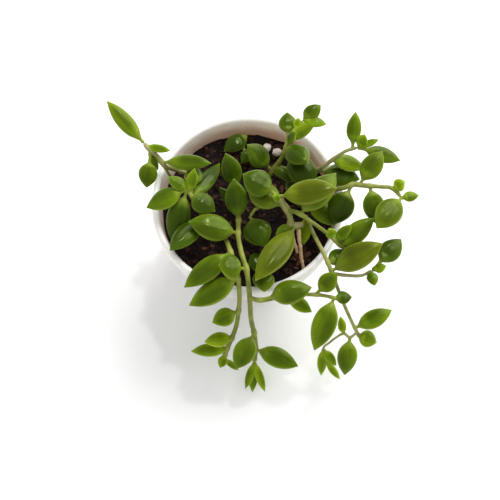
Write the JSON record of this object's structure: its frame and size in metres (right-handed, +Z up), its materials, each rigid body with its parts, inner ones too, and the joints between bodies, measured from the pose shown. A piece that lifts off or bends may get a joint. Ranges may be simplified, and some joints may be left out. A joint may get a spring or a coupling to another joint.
{
  "type": "potted string of bananas",
  "caption": "Small white bowl-shaped pot of dark soil with a string of bananas: plump pointed leaves on thin stems that trail over the rim.",
  "frame": {"origin": "centre of the pot's flat underside", "axes": "+Z up out of the pot; -Y is the side that the longest shoots hang down, and +X is to the right seen from there"},
  "size_m": [0.136, 0.1169, 0.0779],
  "materials": {
    "pot": "satin",
    "soil": "matte",
    "perlite": "matte",
    "stem": "satin",
    "leaf": "satin",
    "olive_leaf": "satin",
    "root": "matte"
  },
  "bodies": {
    "root": {"aerial_root_long": "root", "aerial_root_short": "root", "leaf_front_left_hanging": "leaf", "leaf_front_left_rim": "leaf", "leaf_front_left_wall": "leaf", "leaf_front_right_hanging": "leaf", "leaf_front_right_inner": "leaf", "leaf_front_right_left": "leaf", "leaf_front_right_lower": "leaf", "leaf_front_right_over": "leaf", "leaf_front_right_rim": "leaf", "leaf_front_right_side": "leaf", "leaf_front_right_upright": "leaf", "leaf_inner_left_back": "leaf", "leaf_inner_left_low": "leaf", "leaf_inner_left_outer": "leaf", "leaf_inner_left_under": "leaf", "leaf_left_arm_hanging": "leaf", "leaf_left_arm_inner": "leaf", "leaf_left_arm_tip": "leaf", "leaf_main_behind": "olive_leaf", "leaf_main_left": "leaf", "leaf_main_olive": "olive_leaf", "leaf_main_top": "olive_leaf", "leaf_main_under": "leaf", "leaf_mid_left_back": "leaf", "leaf_middle_round": "leaf", "leaf_right_high_back": "leaf", "leaf_right_high_end": "olive_leaf", "leaf_right_high_middle": "leaf", "leaf_right_high_under": "leaf", "leaf_right_trailing_far": "leaf", "leaf_right_trailing_lower": "leaf", "leaf_right_trailing_side": "leaf", "leaf_right_trailing_top": "olive_leaf", "leaf_top_back": "leaf", "leaf_top_broad": "leaf", "leaf_top_dome": "leaf", "leaf_top_left": "leaf", "leaf_upper_right_side": "leaf", "leaf_upper_right_under": "leaf", "leaf_upper_right_upright": "leaf", "perlite_1": "perlite", "perlite_2": "perlite", "pot": "pot", "soil": "soil", "stem_back": "stem", "stem_front_left": "stem", "stem_front_right": "stem", "stem_inner_left": "stem", "stem_left_arm": "stem", "stem_main": "stem", "stem_mid_left": "stem", "stem_middle": "stem", "stem_near": "stem", "stem_right_high": "stem", "stem_right_trailing": "stem", "stem_top": "stem", "stem_upper_right": "stem"}
  },
  "joints": []
}
